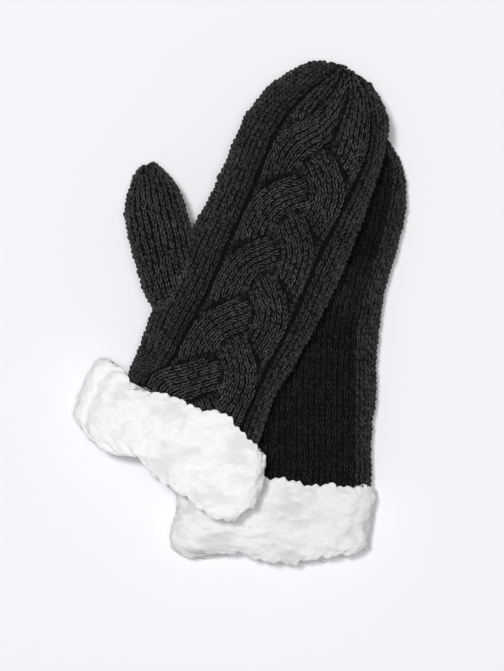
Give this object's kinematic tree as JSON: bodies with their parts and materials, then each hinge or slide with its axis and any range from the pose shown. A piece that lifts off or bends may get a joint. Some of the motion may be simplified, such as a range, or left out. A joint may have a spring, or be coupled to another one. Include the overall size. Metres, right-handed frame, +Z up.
{
  "type": "convertible flip-top mittens",
  "caption": "Pair of chunky cable-knit convertible mittens with flip-back caps over knitted finger stalls, sherpa linings and deep turned-up sherpa cuffs.",
  "frame": {"origin": "middle of the pair's footprint, on the surface it lies on", "axes": "+Y along the left mitten towards its fingertips, +X across it away from its thumb, +Z up"},
  "size_m": [0.1906, 0.307, 0.0648],
  "materials": {
    "knit": "chunky stockinette and cable knit, charcoal black",
    "rib": "ribbed knit band, charcoal black",
    "fine_knit": "fine knit, charcoal black",
    "sherpa": "curly sherpa pile, white",
    "fleece": "short brushed pile, white",
    "thread": "twisted yarn, charcoal black"
  },
  "bodies": {
    "left_hand": {"left_back_panel": "knit", "left_palm_panel": "knit", "left_palm_seams": "thread", "left_back_lining": "sherpa", "left_palm_lining": "sherpa", "left_cuff": "sherpa", "left_cuff_seam": "thread", "left_thumb_gusset": "knit", "left_knuckle_band": "rib", "left_index_stall": "fine_knit", "left_middle_stall": "fine_knit", "left_ring_stall": "fine_knit", "left_little_stall": "fine_knit"},
    "left_flip_cap": {"left_cap_back": "knit", "left_cap_palm": "knit", "left_cap_seams": "thread", "left_cap_hem": "rib", "left_hem_tacks": "thread", "left_cap_crown": "knit", "left_cap_lining": "fleece", "left_crown_stitch": "thread"},
    "left_thumb": {"left_thumb_stall": "knit", "left_thumb_lining": "fleece"},
    "right_hand": {"right_back_panel": "knit", "right_palm_panel": "knit", "right_palm_seams": "thread", "right_back_lining": "sherpa", "right_palm_lining": "sherpa", "right_cuff": "sherpa", "right_cuff_seam": "thread", "right_thumb_gusset": "knit", "right_knuckle_band": "rib", "right_index_stall": "fine_knit", "right_middle_stall": "fine_knit", "right_ring_stall": "fine_knit", "right_little_stall": "fine_knit"},
    "right_flip_cap": {"right_cap_back": "knit", "right_cap_palm": "knit", "right_cap_seams": "thread", "right_cap_hem": "rib", "right_hem_tacks": "thread", "right_cap_crown": "knit", "right_cap_lining": "fleece", "right_crown_stitch": "thread"},
    "right_thumb": {"right_thumb_stall": "knit", "right_thumb_lining": "fleece"}
  },
  "joints": [
    {"name": "left_cap_flip", "type": "hinge", "parent": "left_hand", "child": "left_flip_cap", "pos_m": [0.03404, 0.00613, 0], "axis": [-1, 0, 0], "range_deg": [0, 170], "deforming": ["left_knuckle_band", "left_index_stall", "left_middle_stall", "left_ring_stall", "left_little_stall"]},
    {"name": "left_thumb_swing", "type": "hinge", "parent": "left_hand", "child": "left_thumb", "pos_m": [-0.02161, -0.01858, 0.01296], "axis": [0, 0, 1], "range_deg": [0, 25], "stiffness_Nm_per_rad": 0.02, "deforming": ["left_thumb_gusset"]},
    {"name": "right_cap_flip", "type": "hinge", "parent": "right_hand", "child": "right_flip_cap", "pos_m": [0.00803, 0.03764, 0.05789], "axis": [0.9671, -0.2501, 0.0472], "range_deg": [0, 170], "deforming": ["right_knuckle_band", "right_index_stall", "right_middle_stall", "right_ring_stall", "right_little_stall"]},
    {"name": "right_thumb_swing", "type": "hinge", "parent": "right_hand", "child": "right_thumb", "pos_m": [-0.05221, 0.02769, 0.04009], "axis": [0, 0, 1], "range_deg": [0, 25], "stiffness_Nm_per_rad": 0.02, "deforming": ["right_thumb_gusset"]},
    {"name": "right_mitten_lift", "type": "slide", "parent": "left_hand", "child": "right_hand", "axis": [0, 0, 1], "range_m": [0, 0.15]}
  ]
}
